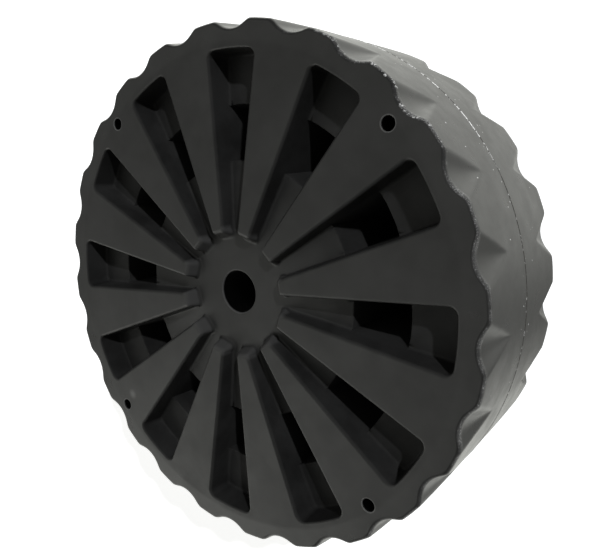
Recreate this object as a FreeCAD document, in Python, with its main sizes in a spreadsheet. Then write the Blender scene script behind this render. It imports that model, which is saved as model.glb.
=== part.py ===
"""Dock wheel: a one-piece moulded polyethylene wheel with twelve spokes and a scalloped tread.

The wheel lies on its back face. Its axle bore runs along +Z and its front face looks up.
The body is drawn about its own middle plane, because both faces are alike. Only the front
face has drain holes.
Units are millimetres and degrees.
"""
import FreeCAD
import Part
import math
import os
import Sketcher

from FreeCAD import Placement, Rotation, Vector

SIZES = [
    ("wheel_diameter", 609.6, "over the crests of the tread"),
    ("wheel_width", 215.9, "front face to back face"),
    ("bore_diameter", 50.3, "axle bore"),
    ("bore_bevel", 1.5, "bevel at each mouth of the bore"),
    ("tread_bevel", 4.0, "bevel where the tread meets a face"),
    ("rim_width", 30.3, "crest of the tread to the outer end of the pockets at the face"),
    ("hub_floor_radius", 60.0, "flat disc round the bore"),
    ("hub_floor_depth", 16.2, "face down to that disc"),
    ("pocket_depth", 33.0, "face down to the pocket floor at its outer end"),
    ("window_inner_radius", 154.0, "window edge towards the hub, at the floor"),
    ("window_outer_radius", 217.3, "window edge towards the rim, at the floor"),
    ("window_draft", 4.0, "degrees that the windows narrow towards the middle of the wheel"),
    ("spoke_count", 12, "spokes, evenly spaced"),
    ("spoke_nose_radius", 73.0, "inner end of a spoke at the face"),
    ("spoke_nose_width", 17.8, "spoke width at its inner end"),
    ("spoke_rim_width", 77.2, "spoke width where it meets the rim"),
    ("corner_rounding", 7.0, "upright corner between spoke and rim"),
    ("nose_rounding", 4.0, "upright corners of a spoke's inner end"),
    ("scoop_count", 24, "scoops round each edge of the tread"),
    ("scoop_depth", 10.0, "scoop depth at the face"),
    ("scoop_length", 58.0, "face to the tip of a scoop"),
    ("scoop_spread", 30.5, "half angle of the cone that shapes a scoop, degrees"),
    ("scoop_point_lift", 0.5, "how far the point of that cone stands off the tread"),
    ("drain_diameter", 14.3, "drain hole"),
    ("drain_inset", 29.8, "crest of the tread to the centre of a drain hole"),
    ("drain_depth", 12.0, "depth of a drain hole"),
    ("drain_count", 4, "drain holes in the front face"),
]

DERIVED = [
    ("pocket_radius", "=wheel_diameter / 2 - rim_width", "outer end of the pockets at the face"),
    ("drain_circle_radius", "=wheel_diameter / 2 - drain_inset", "centres of the drain holes"),
]

HALF_WIDTH = "$wheel_width / 2"
FLOOR_SLOPE = "($pocket_depth - $hub_floor_depth) / ($pocket_radius - $hub_floor_radius)"
LEAN = "tan($window_draft)"
SCOOP_RISE = "atan($scoop_depth / $scoop_length)"
SCOOP_START = "($scoop_length * (1 + $scoop_point_lift / $scoop_depth))"
SCOOP_REACH = f"(1.15 * {SCOOP_START})"

doc = FreeCAD.newDocument("dock_wheel")


def make_sheet():
    cells = doc.addObject("Spreadsheet::Sheet", "Sizes")
    for row, (name, value, note) in enumerate(SIZES + DERIVED, start=1):
        cells.set(f"A{row}", name)
        cells.set(f"B{row}", str(value))
        cells.setAlias(f"B{row}", name)
        cells.set(f"C{row}", note)
    doc.recompute()
    return cells


sheet = make_sheet()


def size(name):
    return float(getattr(sheet, name))


def bind(thing, prop, formula):
    """Tie a property to a formula whose sheet names are written with a leading dollar sign."""
    thing.setExpression(prop, formula.replace("$", "Sizes."))


def origin_item(body, role):
    for item in body.Origin.OriginFeatures:
        if item.Role == role:
            return item
    raise ValueError(role)


def new_sketch(body, name, role):
    sketch = body.newObject("Sketcher::SketchObject", name)
    sketch.AttachmentSupport = [(origin_item(body, role), "")]
    sketch.MapMode = "FlatFace"
    return sketch


def draw_outline(sketch, corners):
    """Draw a closed outline through corners given as pairs of formulas, and tie each corner to them.

    A rough outline on a circle goes in first, because a line needs two different ends.
    """
    count = len(corners)
    rough = [Vector(100 + math.cos(2 * math.pi * i / count), math.sin(2 * math.pi * i / count), 0)
             for i in range(count)]
    for i in range(count):
        sketch.addGeometry(Part.LineSegment(rough[i], rough[(i + 1) % count]), False)
    for i in range(count):
        sketch.addConstraint(Sketcher.Constraint("Coincident", i, 2, (i + 1) % count, 1))
    for i, pair in enumerate(corners):
        for kind, formula in zip(("DistanceX", "DistanceY"), pair):
            index = sketch.addConstraint(Sketcher.Constraint(kind, -1, 1, i, 1, 1.0))
            bind(sketch, f"Constraints[{index}]", formula)


def revolve(body, name, sketch):
    turned = body.newObject("PartDesign::Revolution", name)
    turned.Profile = sketch
    turned.ReferenceAxis = (origin_item(body, "Z_Axis"), [""])
    turned.Angle = 360
    body.Tip = turned
    doc.recompute()
    return turned


def polar(body, name, originals, count):
    ring = body.newObject("PartDesign::PolarPattern", name)
    ring.Originals = originals
    ring.Axis = (origin_item(body, "Z_Axis"), [""])
    ring.Angle = 360
    bind(ring, "Occurrences", count)
    body.Tip = ring
    doc.recompute()
    return ring


def treat_edges(body, kind, name, base, picks, prop, amount):
    """Round or bevel the edges of the base that a test picks by where they lie."""
    names = [f"Edge{i}" for i, edge in enumerate(base.Shape.Edges, start=1) if picks(edge)]
    treated = body.newObject(f"PartDesign::{kind}", name)
    treated.Base = (base, names)
    bind(treated, prop, amount)
    body.Tip = treated
    doc.recompute()
    return treated


def round_edges(body, name, base, picks, radius):
    return treat_edges(body, "Fillet", name, base, picks, "Radius", radius)


def bevel_edges(body, name, base, picks, width):
    return treat_edges(body, "Chamfer", name, base, picks, "Size", width)


def floor_height(radius):
    """Formula for the height of the pocket floor at a radius. The floor is one shallow cone."""
    return f"{HALF_WIDTH} - $hub_floor_depth - {FLOOR_SLOPE} * ({radius} - $hub_floor_radius)"


def both_ways(upper, middle):
    """An outline's upper corners, those on the middle plane, then the upper ones mirrored below it."""
    return upper + middle + [(across, f"-({up})") for across, up in reversed(upper)]


def spread(point):
    return math.hypot(point.x, point.y)


def make_rim(body):
    """The ring that carries the tread, with the outer part of the pocket floor."""
    tunnel = f"($window_outer_radius - {LEAN} * ({floor_height('$window_outer_radius')}))"
    sketch = new_sketch(body, "rim_profile", "XZ_Plane")
    draw_outline(sketch, both_ways([
        ("$wheel_diameter / 2", HALF_WIDTH),
        ("$pocket_radius", HALF_WIDTH),
        ("$pocket_radius", floor_height("$pocket_radius")),
        ("$window_outer_radius", floor_height("$window_outer_radius")),
    ], [(tunnel, "0")]))
    ring = revolve(body, "rim_ring", sketch)
    top = size("wheel_width") / 2

    def at_tread_edge(edge):
        point = edge.Vertexes[0].Point
        return edge.Closed and abs(point.z) > top - 0.01 and spread(point) > size("wheel_diameter") / 2 - 0.01

    return bevel_edges(body, "tread_edge", ring, at_tread_edge, "$tread_bevel")


def make_spokes(body):
    """Spokes that widen outwards, from one face of the wheel to the other."""
    sketch = new_sketch(body, "spoke_outline", "XY_Plane")
    sketch.AttachmentOffset = Placement(Vector(), Rotation(Vector(0, 0, 1), 1))
    bind(sketch, "AttachmentOffset.Rotation.Angle", "180 / $spoke_count")
    widening = "($spoke_rim_width - $spoke_nose_width) / 2 / ($pocket_radius - $spoke_nose_radius)"
    rim_middle = "($pocket_radius / 2 + $wheel_diameter / 4)"
    outer_half = f"($spoke_nose_width / 2 + {widening} * ({rim_middle} - $spoke_nose_radius))"
    draw_outline(sketch, [
        ("$spoke_nose_radius", "-$spoke_nose_width / 2"),
        (rim_middle, f"-{outer_half}"),
        (rim_middle, outer_half),
        ("$spoke_nose_radius", "$spoke_nose_width / 2"),
    ])
    pad = body.newObject("PartDesign::Pad", "spoke")
    pad.Profile = sketch
    pad.SideType = "Symmetric"
    bind(pad, "Length", "$wheel_width")
    body.Tip = pad
    doc.recompute()

    def at_nose(edge):
        points = [vertex.Point for vertex in edge.Vertexes]
        rises = abs(points[0].z - points[-1].z) > size("wheel_width") / 4
        return rises and max(spread(point) for point in points) < size("window_inner_radius")

    nose = round_edges(body, "spoke_nose", pad, at_nose, "$nose_rounding")
    ring = body.newObject("PartDesign::PolarPattern", "spokes")
    ring.TransformMode = "Whole shape"
    ring.Axis = (origin_item(body, "Z_Axis"), [""])
    ring.Angle = 360
    bind(ring, "Occurrences", "$spoke_count")
    body.Tip = ring
    doc.recompute()
    return ring


def make_hub(body):
    """The round plate between bore and windows: a flat disc, then the inner part of the floor."""
    tunnel = f"($window_inner_radius + {LEAN} * ({floor_height('$window_inner_radius')}))"
    sketch = new_sketch(body, "hub_profile", "XZ_Plane")
    draw_outline(sketch, both_ways([
        ("$bore_diameter / 2", f"{HALF_WIDTH} - $hub_floor_depth"),
        ("$hub_floor_radius", f"{HALF_WIDTH} - $hub_floor_depth"),
        ("$window_inner_radius", floor_height("$window_inner_radius")),
    ], [(tunnel, "0")]))
    return revolve(body, "hub", sketch)


def upright(edge, low, high):
    """True for an edge that runs down from the face and starts between two radii there."""
    face = size("wheel_width") / 2
    heights = [abs(vertex.Point.z) for vertex in edge.Vertexes]
    if len(heights) < 2 or max(heights) < face - 0.01 or min(heights) > face - 1:
        return False
    return all(low < spread(vertex.Point) < high for vertex in edge.Vertexes)


def round_corners(body, solid):
    """Round the upright corners where the spokes run into the rim."""
    pocket = size("pocket_radius")
    inside = (size("spoke_nose_radius") + pocket) / 2
    return round_edges(body, "spoke_corners", solid,
                       lambda edge: upright(edge, inside, pocket + 1), "$corner_rounding")


def cut_scoops(body):
    """Scoops round both edges of the tread. Each is cut by a leaning cone that comes in at its tip."""
    cone = body.newObject("PartDesign::SubtractiveCone", "scoop")
    cone.Placement = Placement(Vector(), Rotation(Vector(0, 1, 0), 1))
    bind(cone, "Placement.Base.x", "$wheel_diameter / 2 + $scoop_point_lift")
    bind(cone, "Placement.Base.z", f"{HALF_WIDTH} - {SCOOP_START}")
    bind(cone, "Placement.Rotation.Angle", f"$scoop_spread * 1 deg - {SCOOP_RISE}")
    bind(cone, "Radius1", "0")
    bind(cone, "Radius2", f"{SCOOP_REACH} * tan($scoop_spread)")
    bind(cone, "Height", SCOOP_REACH)
    body.Tip = cone
    doc.recompute()
    around = doc.addObject("PartDesign::PolarPattern", "scoops_around")
    around.Axis = (origin_item(body, "Z_Axis"), [""])
    around.Angle = 360
    bind(around, "Occurrences", "$scoop_count")
    across = doc.addObject("PartDesign::Mirrored", "scoops_across")
    across.MirrorPlane = (origin_item(body, "XY_Plane"), [""])
    scoops = body.newObject("PartDesign::MultiTransform", "scoops")
    scoops.Originals = [cone]
    scoops.Transformations = [around, across]
    body.Tip = scoops
    doc.recompute()
    return scoops


def bevel_bore(body, solid):
    mouth = size("wheel_width") / 2 - size("hub_floor_depth")

    def at_mouth(edge):
        point = edge.Vertexes[0].Point
        return edge.Closed and abs(abs(point.z) - mouth) < 0.01 and spread(point) < size("bore_diameter") / 2 + 0.01

    return bevel_edges(body, "bore_mouths", solid, at_mouth, "$bore_bevel")


def drill_drains(body):
    """Blind drain holes in the front face, on spokes between the main directions."""
    sketch = new_sketch(body, "drain_circle", "XY_Plane")
    bind(sketch, "AttachmentOffset.Base.z", HALF_WIDTH)
    circle = sketch.addGeometry(Part.Circle(Vector(1, 1, 0), Vector(0, 0, 1), 1), False)
    for kind, turn in (("DistanceX", "cos"), ("DistanceY", "sin")):
        index = sketch.addConstraint(Sketcher.Constraint(kind, -1, 1, circle, 3, 1.0))
        bind(sketch, f"Constraints[{index}]", f"$drain_circle_radius * {turn}(180 / $drain_count)")
    index = sketch.addConstraint(Sketcher.Constraint("Diameter", circle, 2.0))
    bind(sketch, f"Constraints[{index}]", "$drain_diameter")
    drain = body.newObject("PartDesign::Pocket", "drain")
    drain.Profile = sketch
    bind(drain, "Length", "$drain_depth")
    body.Tip = drain
    doc.recompute()
    return polar(body, "drains", [drain], "$drain_count")


def check_objects():
    """Stop if any object failed, because a recompute doesn't raise."""
    for item in doc.Objects:
        if "Invalid" in item.State or "Error" in item.State:
            raise RuntimeError(f"{item.Name}: {item.State} {item.getStatusString()}")


def main():
    body = doc.addObject("PartDesign::Body", "wheel")
    body.Label = "wheel"
    bind(body, "Placement.Base.z", HALF_WIDTH)
    make_spokes(body)
    make_hub(body)
    solid = make_rim(body)
    solid = round_corners(body, solid)
    bevel_bore(body, solid)
    drill_drains(body)
    cut_scoops(body)
    check_objects()
    os.makedirs("parts", exist_ok=True)
    body.Shape.exportStep("parts/wheel.step")


main()
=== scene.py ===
"""Dock wheel: one moulded polyethylene wheel that lies on its back face, front face up.

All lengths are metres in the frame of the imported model. The wheel's axis is Z. Plan radii and
angles are taken about it, and a depth is measured down from the nearer face.
"""
import math

import bmesh
import bpy
import numpy as np
from mathutils import Matrix, Vector
from mathutils.geometry import delaunay_2d_cdt


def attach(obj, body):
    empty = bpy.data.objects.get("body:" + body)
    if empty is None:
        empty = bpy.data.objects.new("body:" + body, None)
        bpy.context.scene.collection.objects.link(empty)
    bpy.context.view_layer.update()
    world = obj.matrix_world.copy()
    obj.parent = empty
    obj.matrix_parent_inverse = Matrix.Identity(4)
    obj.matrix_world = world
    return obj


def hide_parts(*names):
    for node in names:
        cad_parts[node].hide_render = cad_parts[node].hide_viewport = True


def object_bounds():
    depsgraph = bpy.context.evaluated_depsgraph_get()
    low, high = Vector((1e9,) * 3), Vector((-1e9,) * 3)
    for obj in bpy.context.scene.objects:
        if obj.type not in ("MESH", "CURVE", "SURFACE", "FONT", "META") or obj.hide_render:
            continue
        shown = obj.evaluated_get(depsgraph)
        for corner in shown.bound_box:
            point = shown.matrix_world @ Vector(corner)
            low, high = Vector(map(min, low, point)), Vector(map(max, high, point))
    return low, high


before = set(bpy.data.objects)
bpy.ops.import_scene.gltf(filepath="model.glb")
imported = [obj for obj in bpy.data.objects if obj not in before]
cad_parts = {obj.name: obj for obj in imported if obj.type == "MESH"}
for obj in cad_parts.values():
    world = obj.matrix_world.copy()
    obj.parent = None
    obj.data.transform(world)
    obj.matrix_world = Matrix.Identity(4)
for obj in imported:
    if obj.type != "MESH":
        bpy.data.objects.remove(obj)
CAD_BOX = [list(corner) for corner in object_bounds()]

MM = 0.001
WIDTH = CAD_BOX[1][2] - CAD_BOX[0][2]
CREST = (CAD_BOX[1][0] - CAD_BOX[0][0]) / 2
MIDDLE = WIDTH / 2
QUARTER_TURN = math.pi / 2
FULL_TURN = 2 * math.pi

# tread
SCOOPS = 24
TREAD_ROUND = 4.0 * MM
SCOOP_DEPTH = 9.8 * MM
SCOOP_LENGTH = 58.0 * MM
SCOOP_RADIUS = 37.0 * MM
SCOOP_SOFTNESS = 4.2 * MM
SCOOP_CORNER = 7.0 * MM
PARTING_HEIGHT = 0.3 * MM
PARTING_HALF = 1.4 * MM

# recess outline, at the face
SECTORS = 12
SECTOR = FULL_TURN / SECTORS
POCKET_RADIUS = 274.5 * MM
POCKET_OUTER_HALF = 33.5 * MM
NOSE_RADIUS = 73.0 * MM
POCKET_INNER_HALF = 10.3 * MM
OUTER_CORNER = 8.0 * MM
NOSE_CORNER = 4.0 * MM
SIDE_ROUND = 3.8 * MM
OUTER_ROUND = 2.4 * MM
FOOT_ROUND = 3.4 * MM
DRAFT = math.tan(math.radians(4.0))
NOSE_DRAFT = math.tan(math.radians(23.0))

# pocket floor
HUB_RADIUS = 60.0 * MM
HUB_DEPTH = 16.2 * MM
POCKET_DEPTH = 33.0 * MM
FLOOR_SLOPE = (POCKET_DEPTH - HUB_DEPTH) / (POCKET_RADIUS - HUB_RADIUS)

# windows
WINDOW_INNER = 154.0 * MM
WINDOW_OUTER = 217.3 * MM
WINDOW_EDGE = 1.6 * MM

# bore and drain holes
BORE_RADIUS = 25.146 * MM
BORE_MOUTH = 2.4 * MM
DRAIN_RADIUS = 7.3 * MM
DRAIN_CIRCLE = 275.0 * MM
DRAIN_DEPTH = 26.0 * MM
DRAIN_EDGE = 0.8 * MM
DRAIN_TURNS = [math.radians(degrees) for degrees in (45, 135, 225, 315)]

# meshing: points along a row, rows over an edge, and how far the floor's inner points keep off
# the edges round them
CORNER_POINTS = 8
SIDE_POINTS = {"outer": 6, "window": 6, "inner": 8}
NOSE_POINTS = 4
EDGE_ROWS = 6
WALL_ROWS = 4
WINDOW_ROWS = 6
WINDOW_EDGE_ROWS = 4
WINDOW_EDGE_POINTS = 13
HUB_POINTS = 9
DRAIN_POINTS = 33
KEEP_FROM_WINDOW = 8 * MM
KEEP_FROM_END = 14 * MM
KEEP_FROM_SIDE = 2.5 * MM
INSIDE_EDGES_ONLY = 1
PLAN_TOLERANCE = 1e-7
MERGE_DISTANCE = 0.002 * MM
SHORTEST_EDGE = 0.001 * MM
SHARP_ANGLE = math.radians(50)
FLIP_PLAN = np.array([1, -1])
FLIP_SIDE = np.array([1, -1, 1])
FLIP_FACE = np.array([1, 1, -1])

# the plastic's tones, with its painted highlights and painted shade, as sRGB levels of 0 to 255
DARK_TONE = 27
LIGHT_TONE = 37
# pale wear speckle on the rim's key-lit side, which partly paints the key light's highlight there
RIM_WEAR_HIGHLIGHT_DARK_TONE = 66
RIM_WEAR_HIGHLIGHT_LIGHT_TONE = 150
# painted highlight on the rounded edges of the spokes' noses and of the bore's mouth
EDGE_HIGHLIGHT_TONE = 56
# painted highlight: a pale spot on the front face near the rim
HIGHLIGHT_SPOT_TONE = 92
# painted highlight: the pale lip round each drain hole
LIP_HIGHLIGHT_TONE = 70
# painted shade: the dark inside of the bore and the drain holes
HOLE_SHADE_TONE = 6
SEAM_TONE = 30
# pale specks of grit; on the rim's lit side they also paint its highlight
GRIT_AND_HIGHLIGHT_TONE = 215
WARMTH = 0.02
SEAM_WARMTH = 0.25

# the plastic's gloss
PLASTIC_IOR = 1.51
ROUGH_LOW = 0.41
ROUGH_HIGH = 0.50
TREAD_POLISH = 0.14
POCKET_DULLNESS = 0.28
SEAM_ROUGHNESS = 0.95
GRAIN_HEIGHT = 0.08 * MM
GRAIN_STRENGTH = 0.5

# marks and painted highlights on the plastic; noise and cell scales are per metre
MOTTLE_SCALE = 14.0
GLOSS_SCALE = 30.0
PATCH_SCALE = 28.0
RIM_WEAR_HIGHLIGHT_SCALE = 900.0
LIT_RIM_CHIP_SCALE = 240.0
DOT_SCALE = 120.0
DASH_SCALE = 120.0
BEAD_SCALE = 330.0
GRAIN_SCALE = 1400.0
# how strongly the noses' painted highlight shows
NOSE_HIGHLIGHT_SHARE = 0.6
# where and how big the painted highlight spot on the front face is
HIGHLIGHT_SPOT_SHARE = 0.55
HIGHLIGHT_SPOT_PLACE = (-182 * MM, -175.5 * MM, WIDTH)
HIGHLIGHT_SPOT_RADIUS = 9 * MM

# floor
FLOOR_HALF = 4.0
FLOOR_COLOUR = (0.82, 0.82, 0.82, 1)
FLOOR_GLOW = 0.70
FLOOR_FADE = 20 * MM
WHITE = (1, 1, 1, 1)

# soft lights in the sky: azimuth, elevation, radius of the full and of the fading part, strength
SKY_LEVEL = 0.15
SKY_PATCHES = [
    (178, 60, 22, 40, 0.37),
    (224, 43, 5, 16, 1.15),
    (229, 2, 20, 38, 1.20),
]

# the ground's darker spots: azimuth, elevation, distances at which the spot ends and the plain
# ground starts, strength in the spot and beyond it
GROUND_SPOTS = [
    (-54, -74, 0.02, 0.38, 0.18, 1.13),
    (-27, -51, 0.1, 0.5, 0.42, 1.0),
]
GROUND_AHEAD = 0.80
GROUND_GLOW = 0.82
STUDIO_COLOUR = (0.99, 1.0, 0.94, 1)

# key lamp
KEY_AZIMUTH = 45
KEY_ELEVATION = 31.3
KEY_STRENGTH = 3.6
KEY_COLOUR = (0.94, 0.97, 1.0)
KEY_ANGLE = math.radians(2.0)

# camera, fitted to the rim circles, the bore and the printed lengths; pixels of the photo
PHOTO_WIDTH = 600
PHOTO_HEIGHT = 557
FOCAL_LENGTH = 602.245
LENS_AXIS_X = 281.334
LENS_AXIS_Y = 263.5
SENSOR_MM = 36.0
CAMERA_RIGHT = Vector((0.79665792, 0.01783522, -0.60416724))
CAMERA_UP = Vector((-0.13435442, 0.979783, -0.14823688))
CAMERA_BACK = Vector((0.58930895, 0.19926662, 0.78294813))
CAMERA_PLACE = Vector((458.994, 176.814, 509.729)) * MM + Vector((0, 0, WIDTH))


class Shell:
    """Collects the points and faces of one skin. Points that coincide are merged at the end."""

    def __init__(self):
        self.points = []
        self.faces = []

    def add(self, points, faces):
        """Points, and faces that count their corners from the first of these points."""
        base = len(self.points)
        self.points.extend(np.asarray(points, float))
        self.faces.extend(tuple(base + corner for corner in face) for face in faces)

    def add_grid(self, rows):
        """Quads between successive rows of points, where every row has as many."""
        count = len(rows[0])
        faces = []
        for i in range(len(rows) - 1):
            for j in range(count - 1):
                corner = i * count + j
                faces.append((corner, corner + count, corner + count + 1, corner + 1))
        self.add(np.vstack(rows), faces)

    def add_region(self, loops, seeds=()):
        """Triangles that fill the area between closed loops of points, seen from above."""
        edges = []
        points = []
        for loop in loops:
            first = len(points)
            points.extend(loop)
            edges.extend((first + i, first + (i + 1) % len(loop)) for i in range(len(loop)))
        points.extend(seeds)
        plan = [Vector((point[0], point[1])) for point in points]
        found, _, triangles, sources, _, _ = delaunay_2d_cdt(
            plan, edges, [], INSIDE_EDGES_ONLY, PLAN_TOLERANCE)
        centres = [np.mean([found[corner] for corner in triangle], axis=0)
                   for triangle in triangles]
        crossed = sum(enclosed(np.asarray(loop), np.array(centres)) for loop in loops)
        kept = [triangle for triangle, times in zip(triangles, crossed) if times % 2 == 1]
        self.add([points[source[0]] for source in sources], kept)

    def add_turned(self, other, angle):
        """A copy of another shell, turned about the axis."""
        self.add(turned(other.points, angle), other.faces)

    def add_flipped(self, other):
        """A copy of another shell, mirrored in the wheel's middle plane."""
        self.add(np.array(other.points) * FLIP_FACE + [0, 0, WIDTH], other.faces)


def turned(points, angle):
    """Points turned about the axis."""
    cos, sin = math.cos(angle), math.sin(angle)
    return np.array(points) @ np.array([[cos, sin, 0], [-sin, cos, 0], [0, 0, 1]])


def all_round(row, count):
    """A row of points over one period, repeated into a closed loop."""
    return np.vstack([turned(row[:-1], FULL_TURN * k / count) for k in range(count)])


def enclosed(loop, points):
    """1 for each plan point that lies inside a closed loop, else 0."""
    x, y = points[:, 0], points[:, 1]
    crossings = np.zeros(len(points), int)
    for start, end in zip(loop, np.roll(loop, -1, axis=0)):
        level = (start[1] > y) != (end[1] > y)
        rise = end[1] - start[1] if end[1] != start[1] else 1.0
        crossings += level & (x < start[0] + (y - start[1]) * (end[0] - start[0]) / rise)
    return crossings % 2


def lift(plan, depth):
    """Points in space from plan points and their depths below the front face."""
    return np.c_[plan, WIDTH - np.broadcast_to(depth, len(plan))]


def ring(radius, turns):
    """Plan points on a circle about the axis, at the given angles."""
    return np.c_[radius * np.cos(turns), radius * np.sin(turns)]


def smooth_step(value):
    """Rises smoothly from 0 to 1 while the value does."""
    value = np.clip(value, 0.0, 1.0)
    return value * value * (3.0 - 2.0 * value)


def floor_depth(radius):
    """The pocket floor is one shallow cone that ends in a flat disc round the bore."""
    return HUB_DEPTH + FLOOR_SLOPE * np.maximum(radius - HUB_RADIUS, 0.0)


def on_floor(plan):
    """Plan points set down on the pocket floor."""
    return lift(plan, floor_depth(np.linalg.norm(plan, axis=1)))


def soft_positive(value, softness):
    """The larger of a value and zero, with the corner between them rounded."""
    near = np.clip(value, -softness, softness)
    return np.where(value > softness, value, (near + softness) ** 2 / (4 * softness))


def scoop_half(depth):
    """Half the width of a scoop at a depth below the face."""
    left = max(1.0 - depth / SCOOP_LENGTH, 0.0)
    sagitta = SCOOP_DEPTH * left
    for _ in range(4):
        half = math.sqrt(sagitta * (2 * SCOOP_RADIUS * left - sagitta))
        sagitta = SCOOP_DEPTH * left - half ** 2 / (2 * CREST)
    return half


def scoop_cut(turns, depth):
    """How far the tread lies inside the crest circle. A scoop is a cone with its tip on the tread."""
    left = max(1.0 - depth / SCOOP_LENGTH, 1e-6)
    across = CREST * np.abs(np.sin(turns))
    radius = SCOOP_RADIUS * left
    arc = radius - np.sqrt(np.maximum(radius ** 2 - across ** 2, 0.0))
    arc = np.where(across < radius, arc, SCOOP_RADIUS)
    cut = SCOOP_DEPTH * left - arc - across ** 2 / (2 * CREST)
    return soft_positive(cut, SCOOP_SOFTNESS * math.sqrt(left))


def tread_turns(depth):
    """Angles of the tread's points across one scoop, close together along the scoop's corners."""
    half = max(scoop_half(depth), 2 * SCOOP_CORNER)
    inner = (half - SCOOP_CORNER) / CREST
    outer = (half + SCOOP_CORNER) / CREST
    end = math.pi / SCOOPS
    right = np.concatenate([
        np.linspace(0, inner, 6, endpoint=False),
        np.linspace(inner, outer, 6, endpoint=False),
        np.linspace(outer, end, 3),
    ])
    return np.concatenate([-right[:0:-1], right])


def tread_row(depth, pull, parting=0.0):
    """One row of points across a scoop: pull is what the rounded edge takes off the radius."""
    turns = tread_turns(depth)
    radius = CREST - scoop_cut(turns, depth) - pull + parting
    return lift(ring(radius, turns), depth)


def build_tread():
    """The tread over one scoop, from the middle plane up over the rounded edge to the face."""
    rows = []
    ridge = np.linspace(MIDDLE, MIDDLE - PARTING_HALF, 5)
    plain = np.linspace(MIDDLE - PARTING_HALF, SCOOP_LENGTH, 5)[1:]
    scooped = np.linspace(SCOOP_LENGTH, TREAD_ROUND, 15)[1:]
    for depth in np.concatenate([ridge, plain, scooped]):
        share = smooth_step(1 - (MIDDLE - depth) / PARTING_HALF)
        rows.append(tread_row(depth, 0.0, PARTING_HEIGHT * share))
    for turn in np.linspace(0, QUARTER_TURN, 7)[1:]:
        depth = TREAD_ROUND * (1 - math.sin(turn))
        rows.append(tread_row(depth, TREAD_ROUND * (1 - math.cos(turn))))
    shell = Shell()
    shell.add_grid(rows)
    return shell, rows[-1]


class Side:
    """The straight side of a pocket on its left, as a line in plan with the draft of its wall."""

    def __init__(self):
        inner = np.array([NOSE_RADIUS, POCKET_INNER_HALF])
        outer = np.array([POCKET_RADIUS, POCKET_OUTER_HALF])
        self.start = inner
        self.along = (outer - inner) / np.linalg.norm(outer - inner)
        self.into = np.array([self.along[1], -self.along[0]])

    def meet(self, radius, offset):
        """Where the line, moved into the pocket by an offset, meets a circle about the axis."""
        start = self.start + self.into * offset
        reach = float(start @ self.along)
        beyond = math.sqrt(reach ** 2 - float(start @ start) + radius ** 2)
        return start + self.along * (beyond - reach)


def wall_level(base, normal, draft=DRAFT):
    """Depth at which the wall below an outline point turns into its foot rounding."""
    level = floor_depth(np.linalg.norm(base, axis=-1)) - FOOT_ROUND
    for _ in range(3):
        reach = draft * level + (draft - DRAFT) * FOOT_ROUND
        foot = base + normal * (reach + FOOT_ROUND)[..., None]
        level = floor_depth(np.linalg.norm(foot, axis=-1)) - FOOT_ROUND
    return level


def window_crossing(side, radius):
    """Outline point on the side line whose wall reaches a radius at its foot."""
    offset = 0.0
    for _ in range(6):
        base = side.meet(radius, offset) - side.into * offset
        offset = DRAFT * wall_level(base[None], side.into[None])[0]
    return base


def half_outline(side):
    """Half of a pocket's outline, from its outer end to the middle of a spoke's nose.

    Returns the points, their normals into the recess and, for each point but the last, the part
    that the stretch after it belongs to.
    """
    spoke = np.array([math.cos(SECTOR / 2), math.sin(SECTOR / 2)])
    outer_centre = side.meet(POCKET_RADIUS - OUTER_CORNER, OUTER_CORNER)
    nose_line = side.start - side.into * NOSE_CORNER
    reach = (NOSE_RADIUS + NOSE_CORNER - nose_line @ spoke) / (side.along @ spoke)
    nose_centre = nose_line + side.along * reach
    away = math.atan2(-side.into[1], -side.into[0])

    points, normals, parts = [], [], []

    def add(new_points, new_normals, part):
        points.extend(new_points)
        normals.extend(new_normals)
        parts.extend([part] * len(new_points))

    turns = np.linspace(0, math.atan2(outer_centre[1], outer_centre[0]), CORNER_POINTS)
    add(ring(POCKET_RADIUS, turns[:-1]), -ring(1, turns[:-1]), "outer")
    turns = np.linspace(turns[-1], away, CORNER_POINTS)
    add(outer_centre + ring(OUTER_CORNER, turns[:-1]), -ring(1, turns[:-1]), "outer")
    stops = [
        outer_centre - side.into * OUTER_CORNER,
        window_crossing(side, WINDOW_OUTER),
        window_crossing(side, WINDOW_INNER),
        nose_centre + side.into * NOSE_CORNER,
    ]
    for start, end, part in zip(stops, stops[1:], SIDE_POINTS):
        share = np.linspace(0, 1, SIDE_POINTS[part] + 1)[:-1, None]
        add(start + (end - start) * share, np.repeat(side.into[None], len(share), 0), part)
    turns = np.linspace(away - math.pi, SECTOR / 2 - math.pi, CORNER_POINTS)
    add(nose_centre + ring(NOSE_CORNER, turns[:-1]), ring(1, turns[:-1]), "inner")
    start = nose_centre - spoke * NOSE_CORNER
    end = spoke * NOSE_RADIUS
    share = np.linspace(0, 1, NOSE_POINTS)[:, None]
    add(start + (end - start) * share, np.repeat(-spoke[None], NOSE_POINTS, 0), "inner")
    return np.array(points), np.array(normals), parts[:-1]


def pocket_outline(side):
    """A pocket's outline, from the middle of one spoke's nose round to the middle of the next.

    Returns the points, their normals into the recess and the places in the row at which the near
    wall's window starts and ends and the far wall's window starts and ends.
    """
    points, normals, parts = half_outline(side)
    base = np.vstack([points[:0:-1] * FLIP_PLAN, points])
    normal = np.vstack([normals[:0:-1] * FLIP_PLAN, normals])
    last = len(points) - 1
    to_window, past_window = parts.index("window"), parts.index("inner")
    marks = (last - past_window, last - to_window, last + to_window, last + past_window)
    return base, normal, marks


def wall_draft(base, normal):
    """The wall's draft at each outline point. It grows towards the middle of a spoke's nose."""
    radius = np.linalg.norm(base, axis=1)
    facing = -np.sum(normal * base, axis=1) / radius
    facing = facing * (radius < 2 * NOSE_RADIUS)
    return DRAFT + (NOSE_DRAFT - DRAFT) * smooth_step(facing)


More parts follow.
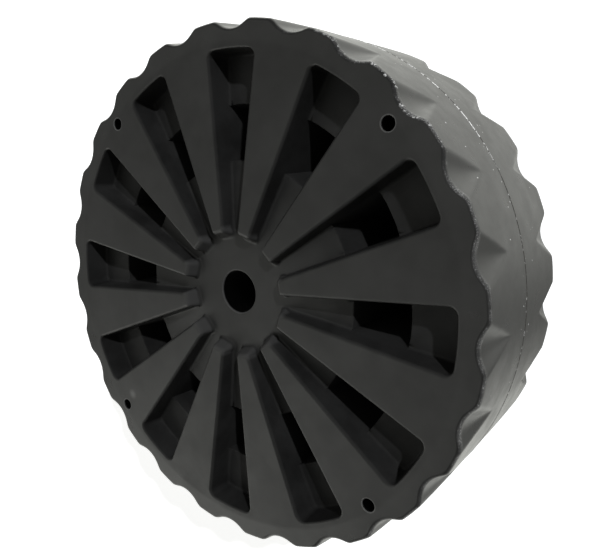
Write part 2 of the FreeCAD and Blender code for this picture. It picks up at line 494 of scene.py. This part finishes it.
def wall_rows(base, normal, draft, level):
    """Rows over a recess's rounded edge and down its wall, to where the foot starts."""
    outermost = smooth_step((np.linalg.norm(base, axis=1) - POCKET_RADIUS) / OUTER_CORNER + 1)
    top = SIDE_ROUND + (OUTER_ROUND - SIDE_ROUND) * outermost
    rows = []
    for turn in np.linspace(0, QUARTER_TURN, EDGE_ROWS):
        depth = top * (1 - math.cos(turn))
        offset = draft * depth - top * (1 - math.sin(turn))
        rows.append(lift(base + normal * offset[:, None], depth))
    for share in np.linspace(0, 1, WALL_ROWS)[1:]:
        depth = top + (level - top) * share
        rows.append(lift(base + normal * (draft * depth)[:, None], depth))
    return rows


def foot_rows(first, base, normal, draft, level):
    """Rows over the rounded foot, from the wall's last row to the pocket floor."""
    rows = [first]
    for turn in np.linspace(0, QUARTER_TURN, EDGE_ROWS)[1:]:
        offset = draft * level + (draft - DRAFT) * FOOT_ROUND * math.sin(turn)
        offset = offset + FOOT_ROUND * (1 - math.cos(turn))
        rows.append(lift(base + normal * offset[:, None], level + FOOT_ROUND * math.sin(turn)))
    return np.array(rows)


def floor_seeds(side, radii, across):
    """Points of the pocket floor between its edges, which keep its triangles even."""
    seeds = []
    for radius in radii:
        reach = side.meet(radius, DRAFT * POCKET_DEPTH + FOOT_ROUND)[1] - KEEP_FROM_SIDE
        plan = np.array([[radius, y] for y in np.linspace(-reach, reach, across)])
        seeds.extend(on_floor(plan))
    return seeds


def build_sector():
    """One twelfth of the recess, its wall, foot, floor and window, down to the middle plane.

    Returns the shell and the row of points where the recess's rounded edge meets the face.
    """
    side = Side()
    base, normal, marks = pocket_outline(side)
    near_inner, near_outer, far_outer, far_inner = marks
    draft = wall_draft(base, normal)
    level = wall_level(base, normal, draft)
    shell = Shell()
    wall = wall_rows(base, normal, draft, level)
    shell.add_grid(wall)
    foot = foot_rows(wall[-1], base, normal, draft, level)
    for first, past in ((0, near_inner + 1), (near_outer, far_outer + 1), (far_inner, len(base))):
        shell.add_grid(foot[:, first:past])

    stretch = slice(far_outer, far_inner + 1)
    build_window_sides(shell, side, base[stretch], level[stretch])
    outer_edge = build_window_end(shell, side, foot[:, far_outer], WINDOW_OUTER, -1)
    inner_edge = build_window_end(shell, side, foot[:, far_inner], WINDOW_INNER, 1)

    bottom = foot[-1]
    radii = np.linspace(WINDOW_OUTER + KEEP_FROM_WINDOW, POCKET_RADIUS - KEEP_FROM_END, 5)
    loop = np.vstack([bottom[near_outer:far_outer + 1], outer_edge[1:-1]])
    shell.add_region([loop], floor_seeds(side, radii, 6))

    turns = np.linspace(SECTOR / 2, -SECTOR / 2, HUB_POINTS)
    hub_edge = on_floor(ring(HUB_RADIUS, turns))
    radii = np.linspace(NOSE_RADIUS + KEEP_FROM_END, WINDOW_INNER - KEEP_FROM_WINDOW, 6)
    loop = np.vstack([bottom[:near_inner + 1], inner_edge[-2:0:-1], bottom[far_inner:], hub_edge])
    shell.add_region([loop], floor_seeds(side, radii, 4))
    build_bore(shell, turns)
    return shell, wall[0]


def window_corner(side, radius, direction, start_level, depth):
    """Where the drafted side wall and a drafted end wall of a window meet, at a depth."""
    return side.meet(radius + direction * DRAFT * (depth - start_level), DRAFT * depth)


def build_window_sides(shell, side, base, level):
    """Both long walls of a window, from the foot of the pocket's walls to the middle plane."""
    shares = np.linspace(0, 1, len(base))
    rows = [lift(base + side.into * (DRAFT * level)[:, None], level)]
    for part in np.linspace(0, 1, WINDOW_ROWS)[1:]:
        row = []
        for share, start in zip(shares, level):
            depth = start + (MIDDLE - start) * part
            outer = window_corner(side, WINDOW_OUTER, -1, level[0], depth)
            inner = window_corner(side, WINDOW_INNER, 1, level[-1], depth)
            row.append([*(outer + (inner - outer) * share), WIDTH - depth])
        rows.append(np.array(row))
    shell.add_grid(rows)
    shell.add_grid([row * FLIP_SIDE for row in rows])


def window_edge_rows(foot, radius, direction):
    """Rows over the rounded edge between the pocket floor and an end wall of a window."""
    floor_level = WIDTH - foot[-1][2]
    end_radius = radius + direction * DRAFT * FOOT_ROUND
    reach = math.atan2(foot[-1][1], foot[-1][0])
    turns = np.linspace(reach, -reach, WINDOW_EDGE_POINTS)
    edge = WINDOW_EDGE * smooth_step((reach - np.abs(turns)) / reach * 3)
    rows = []
    for turn in np.linspace(0, QUARTER_TURN, WINDOW_EDGE_ROWS):
        plan = ring(end_radius - direction * edge * (1 - math.sin(turn)), turns)
        row = lift(plan, floor_level + edge * (1 - math.cos(turn))) if turn else on_floor(plan)
        row[0] = foot[-1]
        row[-1] = foot[-1] * FLIP_SIDE
        rows.append(row)
    return rows


def build_window_end(shell, side, foot, radius, direction):
    """One end wall of a window under the floor's edge. Returns the edge, left to right."""
    edge_rows = window_edge_rows(foot, radius, direction)
    rows = [np.vstack([foot[:-1], row, foot[-2::-1] * FLIP_SIDE]) for row in edge_rows]
    top = rows[-1]
    start_level = WIDTH - foot[0][2]
    shares = []
    for point in top:
        corner = window_corner(side, radius, direction, start_level, WIDTH - point[2])
        shares.append(math.atan2(point[1], point[0]) / math.atan2(corner[1], corner[0]))
    for part in np.linspace(0, 1, WINDOW_ROWS)[1:]:
        row = []
        for point, share in zip(top, shares):
            depth = WIDTH - point[2] + (MIDDLE - WIDTH + point[2]) * part
            corner = window_corner(side, radius, direction, start_level, depth)
            turn = math.atan2(corner[1], corner[0]) * share
            row.append([*ring(np.linalg.norm(corner), np.array([turn]))[0], WIDTH - depth])
        rows.append(np.array(row))
    shell.add_grid(rows)
    return edge_rows[0]


def build_bore(shell, turns):
    """The flat disc round the bore, the bore's rounded mouth and its wall."""
    rows = []
    for radius in np.linspace(HUB_RADIUS, BORE_RADIUS + BORE_MOUTH, 5):
        rows.append(lift(ring(radius, turns), HUB_DEPTH))
    for turn in np.linspace(0, QUARTER_TURN, 5)[1:]:
        radius = BORE_RADIUS + BORE_MOUTH * (1 - math.sin(turn))
        rows.append(lift(ring(radius, turns), HUB_DEPTH + BORE_MOUTH * (1 - math.cos(turn))))
    for depth in np.linspace(HUB_DEPTH + BORE_MOUTH, MIDDLE, 4)[1:]:
        rows.append(lift(ring(BORE_RADIUS, turns), depth))
    shell.add_grid(rows)


def build_drain(shell, angle):
    """A blind drain hole with a rounded edge. Returns its edge on the face."""
    turns = np.linspace(0, FULL_TURN, DRAIN_POINTS)
    centre = ring(DRAIN_CIRCLE, np.array([angle]))
    rows = []
    for turn in np.linspace(0, QUARTER_TURN, 4):
        radius = DRAIN_RADIUS + DRAIN_EDGE * (1 - math.sin(turn))
        rows.append(lift(centre + ring(radius, turns), DRAIN_EDGE * (1 - math.cos(turn))))
    for share in (1.0, 0.3):
        rows.append(lift(centre + ring(DRAIN_RADIUS * share, turns), DRAIN_DEPTH))
    shell.add_grid(rows)
    shell.add_region([rows[-1][:-1]])
    return rows[0][:-1]


def build_wheel():
    """The whole skin: one scoop and one twelfth of the recess, repeated on both faces."""
    scoop, scoop_edge = build_tread()
    sector, sector_edge = build_sector()
    half = Shell()
    for k in range(SCOOPS):
        half.add_turned(scoop, FULL_TURN * k / SCOOPS)
    for k in range(SECTORS):
        half.add_turned(sector, SECTOR * k)
    face_loops = [all_round(scoop_edge, SCOOPS), all_round(sector_edge, SECTORS)]

    whole = Shell()
    whole.add(half.points, half.faces)
    whole.add_flipped(half)
    drain_loops = [build_drain(whole, turn) for turn in DRAIN_TURNS]
    whole.add_region(face_loops + drain_loops)
    back = Shell()
    back.add_region(face_loops)
    whole.add_flipped(back)
    return whole


def make_mesh(name, shell):
    """A mesh from a shell: merged, facing outwards, and smooth but for its sharp edges."""
    mesh = bpy.data.meshes.new(name)
    mesh.from_pydata([tuple(point) for point in shell.points], [], shell.faces)
    work = bmesh.new()
    work.from_mesh(mesh)
    bmesh.ops.remove_doubles(work, verts=work.verts, dist=MERGE_DISTANCE)
    bmesh.ops.dissolve_degenerate(work, edges=work.edges, dist=SHORTEST_EDGE)
    bmesh.ops.recalc_face_normals(work, faces=work.faces)
    for face in work.faces:
        face.smooth = True
    for edge in work.edges:
        if len(edge.link_faces) == 2 and edge.calc_face_angle(0.0) > SHARP_ANGLE:
            edge.smooth = False
    work.to_mesh(mesh)
    work.free()
    return mesh


class Nodes:
    """Short forms for building the nodes of a material or of the world."""

    def __init__(self, tree, place="Object"):
        self.tree = tree
        source = self.new("ShaderNodeTexCoord")
        self.place = source.outputs[place]
        self.normal = source.outputs["Normal"]

    def new(self, kind, **settings):
        node = self.tree.nodes.new(kind)
        for name, value in settings.items():
            setattr(node, name, value)
        return node

    def put(self, socket, value):
        """Gives an input socket a link or a plain value."""
        if isinstance(value, bpy.types.NodeSocket):
            self.tree.links.new(value, socket)
        else:
            socket.default_value = value

    def noise(self, scale, detail, roughness):
        node = self.new("ShaderNodeTexNoise")
        node.inputs["Scale"].default_value = scale
        node.inputs["Detail"].default_value = detail
        node.inputs["Roughness"].default_value = roughness
        self.put(node.inputs["Vector"], self.place)
        return node.outputs["Fac"]

    def steps(self, value, low, high, start=0.0, end=1.0):
        """Maps low to start and high to end, smoothly and clamped."""
        node = self.new("ShaderNodeMapRange", interpolation_type="SMOOTHSTEP")
        amounts = {"Value": value, "From Min": low, "From Max": high, "To Min": start, "To Max": end}
        for name, amount in amounts.items():
            self.put(node.inputs[name], amount)
        return node.outputs["Result"]

    def math(self, operation, first, second=0.0):
        node = self.new("ShaderNodeMath", operation=operation)
        self.put(node.inputs[0], first)
        self.put(node.inputs[1], second)
        return node.outputs["Value"]

    def product(self, first, *others):
        """The values multiplied, as for a mask that needs all of them."""
        for other in others:
            first = self.math("MULTIPLY", first, other)
        return first

    def vector(self, operation, first, second=(0.0, 0.0, 0.0)):
        node = self.new("ShaderNodeVectorMath", operation=operation)
        self.put(node.inputs[0], first)
        self.put(node.inputs[1], second)
        return node.outputs["Value" if operation in ("LENGTH", "DOT_PRODUCT") else "Vector"]

    def in_plan(self, vector):
        """The length of a vector seen along the axis."""
        return self.vector("LENGTH", self.vector("MULTIPLY", vector, (1.0, 1.0, 0.0)))

    def distance(self, target):
        """How far the shaded place, or the direction in the world's case, is from a target."""
        return self.vector("LENGTH", self.vector("SUBTRACT", self.place, target))

    def split(self, vector):
        node = self.new("ShaderNodeSeparateXYZ")
        self.put(node.inputs[0], vector)
        return node.outputs

    def mix(self, factor, first, second):
        """A colour between two: the Mix node's colour sockets are 6, 7 and, as its output, 2."""
        node = self.new("ShaderNodeMix", data_type="RGBA")
        self.put(node.inputs[0], factor)
        self.put(node.inputs[6], first)
        self.put(node.inputs[7], second)
        return node.outputs[2]


class Zones:
    """Where on the wheel a shaded point lies, as node outputs that the plastic's marks and painted
    highlights share.
    """

    def __init__(self, nodes):
        place = nodes.split(nodes.place)
        self.x, self.y, self.z = place["X"], place["Y"], place["Z"]
        self.radius = nodes.in_plan(nodes.place)
        self.from_middle = nodes.math("ABSOLUTE", nodes.math("SUBTRACT", self.z, MIDDLE))
        self.depth = nodes.math("SUBTRACT", MIDDLE, self.from_middle)
        self.on_tread = nodes.steps(self.radius, POCKET_RADIUS + 4 * MM, POCKET_RADIUS + 10 * MM)
        self.upright = nodes.math("ABSOLUTE", nodes.split(nodes.normal)["Z"])
        self.seam = nodes.product(nodes.steps(self.from_middle, 1.3 * MM, 0.6 * MM), self.on_tread)
        # pale rim wear kept to the key-lit side, so it also serves as a painted highlight
        self.rim_wear_and_highlight = self.rim_wear_and_highlight_mask(nodes)

    def rim_wear_and_highlight_mask(self, nodes):
        """The rolled edge between the tread and a face on the key-lit side, at +X: pale wear there,
        which is partly a painted highlight.
        """
        rolled = nodes.product(nodes.steps(self.upright, 0.02, 0.45),
                               nodes.steps(self.upright, 0.995, 0.8))
        at_edge = nodes.steps(self.depth, TREAD_ROUND + 2 * MM, TREAD_ROUND)
        # kept to +X, where the key light falls: in part a painted highlight
        return nodes.product(rolled, self.on_tread, at_edge, nodes.steps(self.x, 0.05, 0.2))


def grey(level, warm=WARMTH):
    """A linear grey from an sRGB level of 0 to 255, a little warm."""
    linear = (level / 255) ** 2.2
    return (linear * (1 + warm), linear, linear * (1 - warm), 1.0)


def mottled(nodes):
    """The plain plastic: two close tones in soft patches."""
    mottle = nodes.steps(nodes.noise(MOTTLE_SCALE, 5.0, 0.65), 0.3, 0.7)
    return nodes.mix(mottle, grey(DARK_TONE), grey(LIGHT_TONE))


def with_rim_wear_and_painted_highlights(nodes, zones, colour):
    """Pale wear along the rim in patches, on its key-lit side where it is partly a painted highlight,
    and one painted highlight spot on the front face near the rim.
    """
    fine = nodes.steps(nodes.noise(RIM_WEAR_HIGHLIGHT_SCALE, 2.0, 0.6), 0.5, 0.75)
    worn_and_lit = nodes.mix(fine, grey(RIM_WEAR_HIGHLIGHT_DARK_TONE), grey(RIM_WEAR_HIGHLIGHT_LIGHT_TONE))
    patchy = nodes.steps(nodes.noise(PATCH_SCALE, 3.0, 0.6), 0.38, 0.62, 0.15, 1.0)
    # the rim's wear colour, laid on the key-lit side: partly a painted highlight
    colour = nodes.mix(nodes.product(zones.rim_wear_and_highlight, patchy), colour, worn_and_lit)
    # painted highlight: a pale spot on the front face
    highlight_spot = nodes.steps(nodes.distance(HIGHLIGHT_SPOT_PLACE), HIGHLIGHT_SPOT_RADIUS, 1 * MM, 0.0, HIGHLIGHT_SPOT_SHARE)
    return nodes.mix(highlight_spot, colour, grey(HIGHLIGHT_SPOT_TONE))


def with_painted_edge_highlights(nodes, zones, colour):
    """Painted highlights: paler colour on the rounded top of each spoke's nose and round the bore's
    mouth, where the rounded edges catch the light.
    """
    nose = nodes.product(nodes.steps(zones.radius, NOSE_RADIUS + 9 * MM, NOSE_RADIUS + 4 * MM),
                         nodes.steps(zones.depth, HUB_DEPTH - 1 * MM, HUB_DEPTH - 4 * MM),
                         nodes.steps(zones.upright, 0.999, 0.95))
    # painted highlight on the noses' rounded edges
    colour = nodes.mix(nodes.product(nose, NOSE_HIGHLIGHT_SHARE), colour, grey(EDGE_HIGHLIGHT_TONE))
    # painted highlight round the bore's rounded mouth
    mouth = nodes.product(nodes.steps(zones.radius, BORE_RADIUS + 2.1 * MM, BORE_RADIUS + 1.4 * MM),
                          nodes.steps(zones.depth, HUB_DEPTH + 2 * MM, HUB_DEPTH + 1.2 * MM))
    return nodes.mix(mouth, colour, grey(EDGE_HIGHLIGHT_TONE))


def with_hole_shade_and_lip_highlight(nodes, zones, colour):
    """Painted shade: dark in the bore and in the drain holes. Painted highlight: a pale lip round
    each drain hole.
    """
    across = DRAIN_CIRCLE * math.sqrt(0.5)
    one_quarter = nodes.vector("ABSOLUTE", nodes.place)
    from_drain = nodes.in_plan(nodes.vector("SUBTRACT", one_quarter, (across, across, 0.0)))
    # painted highlight on each drain hole's lip
    lip = nodes.product(nodes.steps(from_drain, DRAIN_RADIUS + 1.6 * MM, DRAIN_RADIUS + 0.9 * MM),
                        nodes.steps(zones.z, WIDTH - 1 * MM, WIDTH - 0.5 * MM))
    colour = nodes.mix(lip, colour, grey(LIP_HIGHLIGHT_TONE))
    # painted shade inside the drain holes and the bore
    drain = nodes.product(nodes.steps(from_drain, DRAIN_RADIUS + 0.5 * MM, DRAIN_RADIUS + 0.2 * MM),
                          nodes.steps(zones.depth, 1 * MM, 3 * MM))
    bore = nodes.product(nodes.steps(zones.radius, BORE_RADIUS + 1.0 * MM, BORE_RADIUS + 0.3 * MM),
                         nodes.steps(zones.depth, HUB_DEPTH + 1 * MM, HUB_DEPTH + 4 * MM))
    return nodes.mix(nodes.math("MAXIMUM", drain, bore), colour, grey(HOLE_SHADE_TONE, 0.0))


def pale_grit_and_highlight(nodes, zones):
    """Mask of the pale specks: chipped specks on the rim's key-lit upper part, which partly paint its
    highlight, dots on the tread, dashes and beads on the seam.
    """
    # pale chipped specks on the rim's wear, kept to its lit upper part: partly a painted highlight
    lit_rim_chips = nodes.product(zones.rim_wear_and_highlight,
                          nodes.steps(nodes.noise(LIT_RIM_CHIP_SCALE, 3.0, 0.7), 0.56, 0.64),
                          nodes.steps(zones.y, 0.15, 0.20, 0.0, 0.6))

    cells = nodes.new("ShaderNodeTexVoronoi")
    cells.inputs["Scale"].default_value = DOT_SCALE
    nodes.put(cells.inputs["Vector"], nodes.place)
    chance = nodes.split(cells.outputs["Color"])["X"]
    needed = nodes.steps(zones.from_middle, 45 * MM, 2 * MM, 0.92, 0.40)
    dots = nodes.product(nodes.steps(cells.outputs["Distance"], 0.11, 0.06),
                         nodes.math("GREATER_THAN", chance, needed),
                         zones.on_tread,
                         nodes.steps(zones.upright, 0.9, 0.5))

    ridge = nodes.steps(zones.from_middle, 1.7 * MM, 1.2 * MM)
    dashes = nodes.product(ridge,
                           nodes.steps(nodes.noise(DASH_SCALE, 3.0, 0.7), 0.47, 0.52),
                           zones.on_tread,
                           nodes.steps(zones.y, 0.14, 0.2))
    beads = nodes.product(ridge,
                          nodes.steps(nodes.noise(BEAD_SCALE, 2.0, 0.6), 0.62, 0.66, 0.0, 0.6),
                          zones.on_tread,
                          nodes.steps(zones.y, -0.16, -0.1))
    return nodes.math("MAXIMUM", nodes.math("MAXIMUM", dots, dashes),
                      nodes.math("MAXIMUM", beads, lit_rim_chips))


def plastic_roughness(nodes, zones):
    """Glossier on the tread, duller deep in the pockets and dull on the parting line."""
    gloss_patches = nodes.noise(GLOSS_SCALE, 4.0, 0.6)
    rough = nodes.steps(gloss_patches, 0.3, 0.7, ROUGH_LOW, ROUGH_HIGH)
    rough = nodes.math("SUBTRACT", rough, nodes.product(zones.on_tread, TREAD_POLISH))
    deep = nodes.product(nodes.steps(zones.depth, 17 * MM, 28 * MM),
                         nodes.steps(zones.radius, POCKET_RADIUS + 4 * MM, POCKET_RADIUS))
    rough = nodes.math("ADD", rough, nodes.product(deep, POCKET_DULLNESS))
    return nodes.math("MAXIMUM", rough, nodes.product(zones.seam, SEAM_ROUGHNESS))


def make_plastic():
    """Charcoal polyethylene with a fine grain, the marks of use, painted highlights on its rim and
    rounded edges and painted shade in its holes.
    """
    material = bpy.data.materials.new("charcoal polyethylene")
    material.use_nodes = True
    nodes = Nodes(material.node_tree)
    zones = Zones(nodes)
    colour = mottled(nodes)
    colour = with_rim_wear_and_painted_highlights(nodes, zones, colour)
    colour = with_painted_edge_highlights(nodes, zones, colour)
    colour = with_hole_shade_and_lip_highlight(nodes, zones, colour)
    colour = nodes.mix(zones.seam, colour, grey(SEAM_TONE, SEAM_WARMTH))
    colour = nodes.mix(pale_grit_and_highlight(nodes, zones), colour, grey(GRIT_AND_HIGHLIGHT_TONE))

    bump = nodes.new("ShaderNodeBump")
    bump.inputs["Distance"].default_value = GRAIN_HEIGHT
    bump.inputs["Strength"].default_value = GRAIN_STRENGTH
    nodes.put(bump.inputs["Height"], nodes.noise(GRAIN_SCALE, 2.0, 0.6))

    shader = material.node_tree.nodes["Principled BSDF"]
    shader.inputs["IOR"].default_value = PLASTIC_IOR
    nodes.put(shader.inputs["Base Color"], colour)
    nodes.put(shader.inputs["Roughness"], plastic_roughness(nodes, zones))
    nodes.put(shader.inputs["Normal"], bump.outputs["Normal"])
    return material


def link(name, data):
    """A new object in the scene."""
    item = bpy.data.objects.new(name, data)
    bpy.context.scene.collection.objects.link(item)
    return item


def make_floor():
    """Pale floor. Beside the wheel, reflections look through it at the studio's ground."""
    mesh = bpy.data.meshes.new("floor")
    corners = [(-FLOOR_HALF, -FLOOR_HALF, 0), (FLOOR_HALF, -FLOOR_HALF, 0),
               (FLOOR_HALF, FLOOR_HALF, 0), (-FLOOR_HALF, FLOOR_HALF, 0)]
    mesh.from_pydata(corners, [], [(0, 1, 2, 3)])
    floor = link("floor", mesh)
    material = bpy.data.materials.new("pale floor")
    material.use_nodes = True
    nodes = Nodes(material.node_tree)
    shader = material.node_tree.nodes["Principled BSDF"]
    shader.inputs["Base Color"].default_value = FLOOR_COLOUR
    shader.inputs["Roughness"].default_value = 1.0
    shader.inputs["Specular IOR Level"].default_value = 0.0
    shader.inputs["Emission Color"].default_value = WHITE
    rays = nodes.new("ShaderNodeLightPath")
    glow = nodes.product(rays.outputs["Is Camera Ray"], FLOOR_GLOW)
    nodes.put(shader.inputs["Emission Strength"], glow)
    beside = nodes.steps(nodes.vector("LENGTH", nodes.place), CREST - FLOOR_FADE, CREST)
    through = nodes.new("ShaderNodeMixShader")
    nodes.put(through.inputs[0], nodes.product(rays.outputs["Is Glossy Ray"], beside))
    nodes.put(through.inputs[1], shader.outputs[0])
    nodes.put(through.inputs[2], nodes.new("ShaderNodeBsdfTransparent").outputs[0])
    nodes.put(material.node_tree.nodes["Material Output"].inputs["Surface"], through.outputs[0])
    mesh.materials.append(material)


def direction(azimuth, elevation):
    """Unit vector from an azimuth about Z and an elevation, both in degrees."""
    azimuth, elevation = math.radians(azimuth), math.radians(elevation)
    flat = math.cos(elevation)
    return (flat * math.cos(azimuth), flat * math.sin(azimuth), math.sin(elevation))


def sky_strength(nodes):
    """The dim sky and the soft lights in it."""
    sky = SKY_LEVEL
    for azimuth, elevation, full, faded, strength in SKY_PATCHES:
        near = nodes.vector("DOT_PRODUCT", nodes.place, direction(azimuth, elevation))
        edge, core = math.cos(math.radians(faded)), math.cos(math.radians(full))
        sky = nodes.math("ADD", nodes.steps(near, edge, core, 0.0, strength), sky)
    return sky


def ground_strength(nodes, parts):
    """The pale ground: two darker spots, a slow fade towards +Y and a bright low part there."""
    tones = []
    for azimuth, elevation, near, far, spot, plain in GROUND_SPOTS:
        from_spot = nodes.distance(direction(azimuth, elevation))
        tones.append(nodes.steps(from_spot, near, far, spot, plain))
    ground = nodes.product(*tones, nodes.steps(parts["Y"], -0.12, 0.25, 1.0, GROUND_AHEAD))
    ahead = nodes.product(nodes.steps(parts["Y"], 0.05, 0.55),
                          nodes.steps(parts["Z"], -0.90, -0.76))
    return nodes.math("ADD", ground, nodes.product(ahead, GROUND_GLOW))


def make_world():
    """A dim sky with soft lights over a pale, spotted ground, and plain white for the camera."""
    world = bpy.data.worlds.new("studio")
    bpy.context.scene.world = world
    world.use_nodes = True
    nodes = Nodes(world.node_tree, "Generated")
    parts = nodes.split(nodes.place)
    sky = sky_strength(nodes)
    ground = ground_strength(nodes, parts)
    below = nodes.steps(parts["Z"], -0.12, 0.02, 1.0, 0.0)
    rise = nodes.product(below, nodes.math("SUBTRACT", ground, sky))
    around = nodes.math("ADD", sky, rise)
    seen = nodes.new("ShaderNodeLightPath").outputs["Is Camera Ray"]
    back = world.node_tree.nodes["Background"]
    nodes.put(back.inputs["Strength"], nodes.math("MAXIMUM", seen, around))
    nodes.put(back.inputs["Color"], nodes.mix(seen, STUDIO_COLOUR, WHITE))


def make_sun():
    """A small, far lamp that throws the crisp shadows in the pockets."""
    light = bpy.data.lights.new("key", "SUN")
    light.energy = KEY_STRENGTH
    light.color = KEY_COLOUR
    light.angle = KEY_ANGLE
    item = link("key", light)
    towards = Vector(direction(KEY_AZIMUTH, KEY_ELEVATION))
    item.location = towards
    item.rotation_euler = (-towards).to_track_quat("-Z", "Y").to_euler()
    item.visible_glossy = False


def make_camera():
    """The camera of the photo."""
    data = bpy.data.cameras.new("camera")
    data.sensor_fit = "HORIZONTAL"
    data.sensor_width = SENSOR_MM
    data.lens = SENSOR_MM * FOCAL_LENGTH / PHOTO_WIDTH
    data.shift_x = (PHOTO_WIDTH / 2 - LENS_AXIS_X) / PHOTO_WIDTH
    data.shift_y = (LENS_AXIS_Y - PHOTO_HEIGHT / 2) / PHOTO_WIDTH
    matrix = Matrix((CAMERA_RIGHT, CAMERA_UP, CAMERA_BACK)).transposed().to_4x4()
    matrix.translation = CAMERA_PLACE
    camera = link("camera", data)
    camera.matrix_world = matrix
    bpy.context.scene.camera = camera


def make_scene():
    """The wheel in place of the solid's node, then the floor, the light and the camera."""
    mesh = make_mesh("wheel", build_wheel())
    mesh.materials.append(make_plastic())
    wheel = link("wheel", mesh)
    smooth = wheel.modifiers.new("even shading", "WEIGHTED_NORMAL")
    smooth.keep_sharp = True
    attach(wheel, "root")
    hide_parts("wheel")
    make_floor()
    make_world()
    make_sun()
    make_camera()
    bpy.context.scene.view_settings.view_transform = "Standard"


make_scene()
